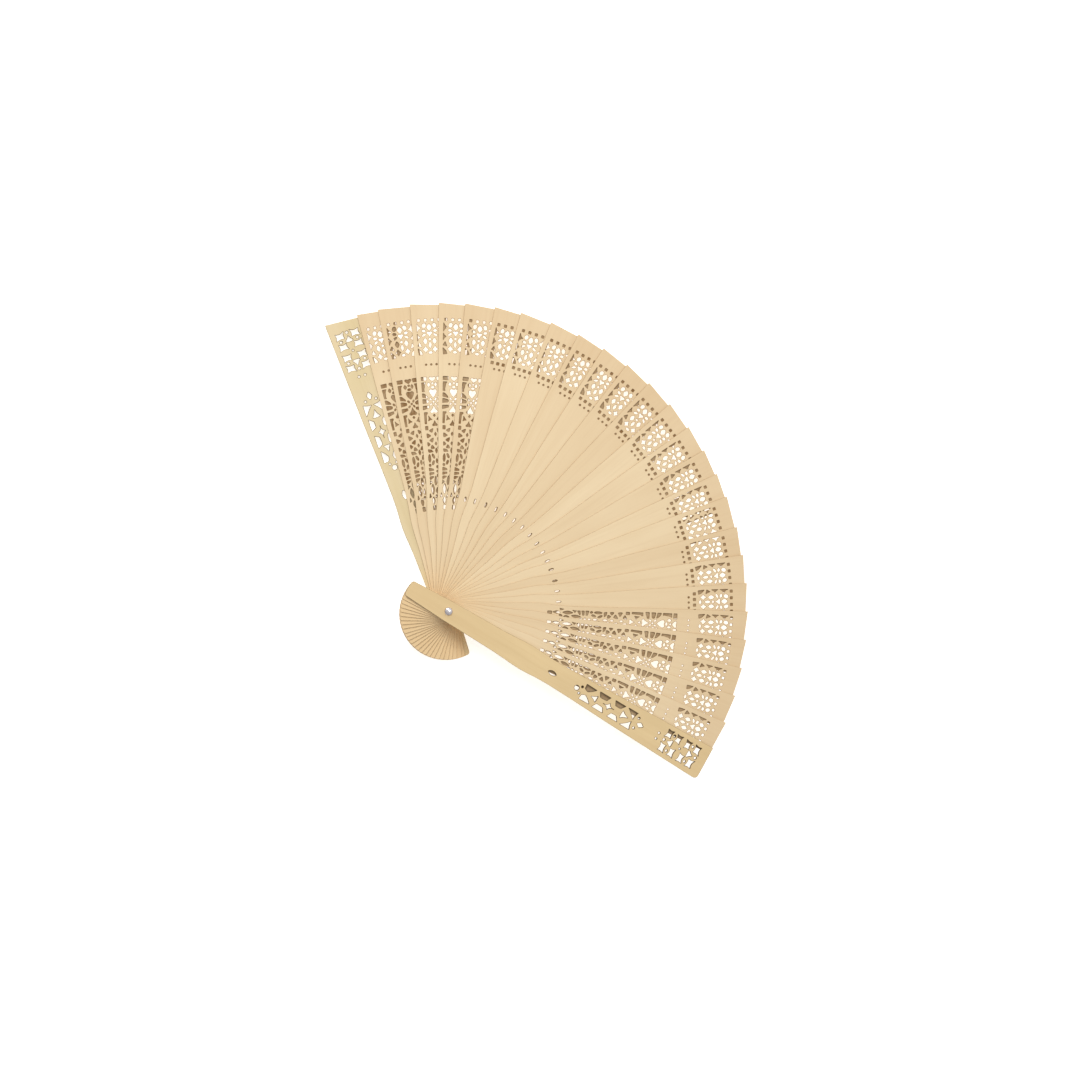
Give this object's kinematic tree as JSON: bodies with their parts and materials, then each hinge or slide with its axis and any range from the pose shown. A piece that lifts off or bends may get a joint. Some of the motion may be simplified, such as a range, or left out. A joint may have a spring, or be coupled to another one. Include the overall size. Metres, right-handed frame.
{
  "type": "folding hand fan",
  "caption": "Folding hand fan of openwork wooden sticks that turn on one rivet between two thicker guards.",
  "frame": {"origin": "centre of the rivet's flat rear end, on the axis that every stick turns about", "axes": "+Z along the rivet towards the domed front head, +X and +Y in the plane of the open fan; the front guard points 31.3 degrees below +X and the rear guard 109.5 degrees above it"},
  "size_m": [0.2443, 0.2748, 0.0212],
  "materials": {
    "stick_wood": "fine sanded, unvarnished",
    "guard_wood": "fine sanded, unvarnished",
    "nickel": "polished nickel plate"
  },
  "bodies": {
    "rear_guard": {"rear_guard": "guard_wood", "pivot_rivet": "nickel", "rivet_washer": "nickel"},
    "stick_01": {"stick_01": "stick_wood"},
    "stick_02": {"stick_02": "stick_wood"},
    "stick_03": {"stick_03": "stick_wood"},
    "stick_04": {"stick_04": "stick_wood"},
    "stick_05": {"stick_05": "stick_wood"},
    "stick_06": {"stick_06": "stick_wood"},
    "stick_07": {"stick_07": "stick_wood"},
    "stick_08": {"stick_08": "stick_wood"},
    "stick_09": {"stick_09": "stick_wood"},
    "stick_10": {"stick_10": "stick_wood"},
    "stick_11": {"stick_11": "stick_wood"},
    "stick_12": {"stick_12": "stick_wood"},
    "stick_13": {"stick_13": "stick_wood"},
    "stick_14": {"stick_14": "stick_wood"},
    "stick_15": {"stick_15": "stick_wood"},
    "stick_16": {"stick_16": "stick_wood"},
    "stick_17": {"stick_17": "stick_wood"},
    "stick_18": {"stick_18": "stick_wood"},
    "stick_19": {"stick_19": "stick_wood"},
    "stick_20": {"stick_20": "stick_wood"},
    "stick_21": {"stick_21": "stick_wood"},
    "stick_22": {"stick_22": "stick_wood"},
    "stick_23": {"stick_23": "stick_wood"},
    "stick_24": {"stick_24": "stick_wood"},
    "stick_25": {"stick_25": "stick_wood"},
    "front_guard": {"front_guard": "guard_wood"}
  },
  "joints": [
    {"name": "front_guard_turn", "type": "hinge", "parent": "rear_guard", "child": "front_guard", "pos_m": [0, 0, 0], "axis": [0, 0, 1], "range_deg": [0, 140.8]},
    {"name": "stick_01_turn", "type": "hinge", "parent": "rear_guard", "child": "stick_01", "pos_m": [0, 0, 0], "axis": [0, 0, 1], "range_deg": [0, 6.26]},
    {"name": "stick_02_turn", "type": "hinge", "parent": "rear_guard", "child": "stick_02", "pos_m": [0, 0, 0], "axis": [0, 0, 1], "range_deg": [0, 10.28]},
    {"name": "stick_03_turn", "type": "hinge", "parent": "rear_guard", "child": "stick_03", "pos_m": [0, 0, 0], "axis": [0, 0, 1], "range_deg": [0, 16.3]},
    {"name": "stick_04_turn", "type": "hinge", "parent": "rear_guard", "child": "stick_04", "pos_m": [0, 0, 0], "axis": [0, 0, 1], "range_deg": [0, 21.71]},
    {"name": "stick_05_turn", "type": "hinge", "parent": "rear_guard", "child": "stick_05", "pos_m": [0, 0, 0], "axis": [0, 0, 1], "range_deg": [0, 26.63]},
    {"name": "stick_06_turn", "type": "hinge", "parent": "rear_guard", "child": "stick_06", "pos_m": [0, 0, 0], "axis": [0, 0, 1], "range_deg": [0, 32.24]},
    {"name": "stick_07_turn", "type": "hinge", "parent": "rear_guard", "child": "stick_07", "pos_m": [0, 0, 0], "axis": [0, 0, 1], "range_deg": [0, 37.26]},
    {"name": "stick_08_turn", "type": "hinge", "parent": "rear_guard", "child": "stick_08", "pos_m": [0, 0, 0], "axis": [0, 0, 1], "range_deg": [0, 43.17]},
    {"name": "stick_09_turn", "type": "hinge", "parent": "rear_guard", "child": "stick_09", "pos_m": [0, 0, 0], "axis": [0, 0, 1], "range_deg": [0, 48.79]},
    {"name": "stick_10_turn", "type": "hinge", "parent": "rear_guard", "child": "stick_10", "pos_m": [0, 0, 0], "axis": [0, 0, 1], "range_deg": [0, 54.2]},
    {"name": "stick_11_turn", "type": "hinge", "parent": "rear_guard", "child": "stick_11", "pos_m": [0, 0, 0], "axis": [0, 0, 1], "range_deg": [0, 59.62]},
    {"name": "stick_12_turn", "type": "hinge", "parent": "rear_guard", "child": "stick_12", "pos_m": [0, 0, 0], "axis": [0, 0, 1], "range_deg": [0, 65.03]},
    {"name": "stick_13_turn", "type": "hinge", "parent": "rear_guard", "child": "stick_13", "pos_m": [0, 0, 0], "axis": [0, 0, 1], "range_deg": [0, 70.65]},
    {"name": "stick_14_turn", "type": "hinge", "parent": "rear_guard", "child": "stick_14", "pos_m": [0, 0, 0], "axis": [0, 0, 1], "range_deg": [0, 76.27]},
    {"name": "stick_15_turn", "type": "hinge", "parent": "rear_guard", "child": "stick_15", "pos_m": [0, 0, 0], "axis": [0, 0, 1], "range_deg": [0, 81.58]},
    {"name": "stick_16_turn", "type": "hinge", "parent": "rear_guard", "child": "stick_16", "pos_m": [0, 0, 0], "axis": [0, 0, 1], "range_deg": [0, 86.7]},
    {"name": "stick_17_turn", "type": "hinge", "parent": "rear_guard", "child": "stick_17", "pos_m": [0, 0, 0], "axis": [0, 0, 1], "range_deg": [0, 91.41]},
    {"name": "stick_18_turn", "type": "hinge", "parent": "rear_guard", "child": "stick_18", "pos_m": [0, 0, 0], "axis": [0, 0, 1], "range_deg": [0, 97.53]},
    {"name": "stick_19_turn", "type": "hinge", "parent": "rear_guard", "child": "stick_19", "pos_m": [0, 0, 0], "axis": [0, 0, 1], "range_deg": [0, 102.94]},
    {"name": "stick_20_turn", "type": "hinge", "parent": "rear_guard", "child": "stick_20", "pos_m": [0, 0, 0], "axis": [0, 0, 1], "range_deg": [0, 108.36]},
    {"name": "stick_21_turn", "type": "hinge", "parent": "rear_guard", "child": "stick_21", "pos_m": [0, 0, 0], "axis": [0, 0, 1], "range_deg": [0, 113.77]},
    {"name": "stick_22_turn", "type": "hinge", "parent": "rear_guard", "child": "stick_22", "pos_m": [0, 0, 0], "axis": [0, 0, 1], "range_deg": [0, 119.19]},
    {"name": "stick_23_turn", "type": "hinge", "parent": "rear_guard", "child": "stick_23", "pos_m": [0, 0, 0], "axis": [0, 0, 1], "range_deg": [0, 124.6]},
    {"name": "stick_24_turn", "type": "hinge", "parent": "rear_guard", "child": "stick_24", "pos_m": [0, 0, 0], "axis": [0, 0, 1], "range_deg": [0, 130.02]},
    {"name": "stick_25_turn", "type": "hinge", "parent": "rear_guard", "child": "stick_25", "pos_m": [0, 0, 0], "axis": [0, 0, 1], "range_deg": [0, 135.44]}
  ],
  "couplings": [
    {"joint": "stick_01_turn", "follows": "front_guard_turn", "ratio": 0.044143},
    {"joint": "stick_02_turn", "follows": "front_guard_turn", "ratio": 0.072662},
    {"joint": "stick_03_turn", "follows": "front_guard_turn", "ratio": 0.11539},
    {"joint": "stick_04_turn", "follows": "front_guard_turn", "ratio": 0.15385},
    {"joint": "stick_05_turn", "follows": "front_guard_turn", "ratio": 0.18876},
    {"joint": "stick_06_turn", "follows": "front_guard_turn", "ratio": 0.22864},
    {"joint": "stick_07_turn", "follows": "front_guard_turn", "ratio": 0.26426},
    {"joint": "stick_08_turn", "follows": "front_guard_turn", "ratio": 0.30627},
    {"joint": "stick_09_turn", "follows": "front_guard_turn", "ratio": 0.34615},
    {"joint": "stick_10_turn", "follows": "front_guard_turn", "ratio": 0.38461},
    {"joint": "stick_11_turn", "follows": "front_guard_turn", "ratio": 0.42308},
    {"joint": "stick_12_turn", "follows": "front_guard_turn", "ratio": 0.46154},
    {"joint": "stick_13_turn", "follows": "front_guard_turn", "ratio": 0.50142},
    {"joint": "stick_14_turn", "follows": "front_guard_turn", "ratio": 0.5413},
    {"joint": "stick_15_turn", "follows": "front_guard_turn", "ratio": 0.57905},
    {"joint": "stick_16_turn", "follows": "front_guard_turn", "ratio": 0.61538},
    {"joint": "stick_17_turn", "follows": "front_guard_turn", "ratio": 0.64887},
    {"joint": "stick_18_turn", "follows": "front_guard_turn", "ratio": 0.69231},
    {"joint": "stick_19_turn", "follows": "front_guard_turn", "ratio": 0.73077},
    {"joint": "stick_20_turn", "follows": "front_guard_turn", "ratio": 0.76923},
    {"joint": "stick_21_turn", "follows": "front_guard_turn", "ratio": 0.80769},
    {"joint": "stick_22_turn", "follows": "front_guard_turn", "ratio": 0.84615},
    {"joint": "stick_23_turn", "follows": "front_guard_turn", "ratio": 0.88462},
    {"joint": "stick_24_turn", "follows": "front_guard_turn", "ratio": 0.92308},
    {"joint": "stick_25_turn", "follows": "front_guard_turn", "ratio": 0.96154}
  ]
}
